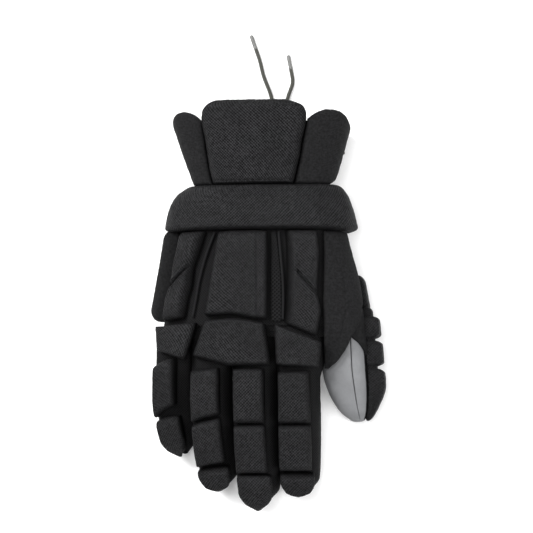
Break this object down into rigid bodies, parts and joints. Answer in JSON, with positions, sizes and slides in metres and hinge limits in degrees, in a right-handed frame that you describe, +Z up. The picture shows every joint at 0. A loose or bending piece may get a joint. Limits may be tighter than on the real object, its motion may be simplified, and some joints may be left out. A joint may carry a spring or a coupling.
{
  "type": "ball hockey glove",
  "caption": "Right-hand ball hockey glove with padded back, leather palm, flared cuff and drawcord, lying palm down.",
  "frame": {"origin": "middle of the glove's plan box, without the drawcord, on the surface that it lies on", "axes": "+X towards the thumb, +Y from the fingers towards the cuff, +Z up out of the back of the hand"},
  "size_m": [0.2067, 0.4208, 0.0657],
  "materials": {
    "pad": "black woven cloth with a fine diagonal weave over foam",
    "panel": "smooth black knitted cloth over thin foam",
    "mesh": "black open mesh cloth",
    "leather": "smooth grey synthetic leather, matt",
    "binding": "black woven binding tape",
    "cord": "dark braided round cord",
    "lock": "dark grey moulded plastic",
    "aglet": "grey moulded plastic cord end",
    "eyelet": "black painted metal eyelet"
  },
  "bodies": {
    "root": {"back_liner": "mesh", "sleeve_pinky": "mesh", "sleeve_ring": "mesh", "sleeve_middle": "mesh", "sleeve_index": "mesh", "thumb_sleeve": "mesh", "thumb_gusset": "leather", "palm_leather": "leather", "palm_patch": "mesh", "thumb_leather": "leather", "thumb_patch": "mesh", "pinky_pad_1": "pad", "pinky_tip": "pad", "ring_pad_1": "pad", "ring_pad_2": "pad", "ring_tip": "pad", "middle_pad_1": "pad", "middle_pad_2": "pad", "middle_tip": "pad", "index_pad_1": "pad", "index_pad_2": "pad", "index_tip": "pad", "thumb_pad_root": "pad", "thumb_pad_1": "pad", "thumb_pad_2": "pad", "thumb_tip": "pad", "knuckle_pad_pinky": "pad", "knuckle_pad_centre": "pad", "knuckle_pad_index": "pad", "back_pad_pinky": "pad", "back_pad_centre": "pad", "back_pad_index": "pad", "vent_strip": "mesh", "pinky_roll": "pad", "piping_pinky": "binding", "piping_index": "binding", "thumb_side_panel": "panel", "wrist_band": "pad", "wrist_hem": "binding", "cuff_pad": "pad", "cuff_flare_pinky": "panel", "cuff_flare_thumb": "panel", "eyelet_pinky": "eyelet", "eyelet_thumb": "eyelet", "cord_inner": "cord", "cord_lead_pinky": "cord", "cord_lead_thumb": "cord", "aglet_pinky": "aglet", "aglet_thumb": "aglet", "cord_lock": "lock"}
  },
  "joints": []
}
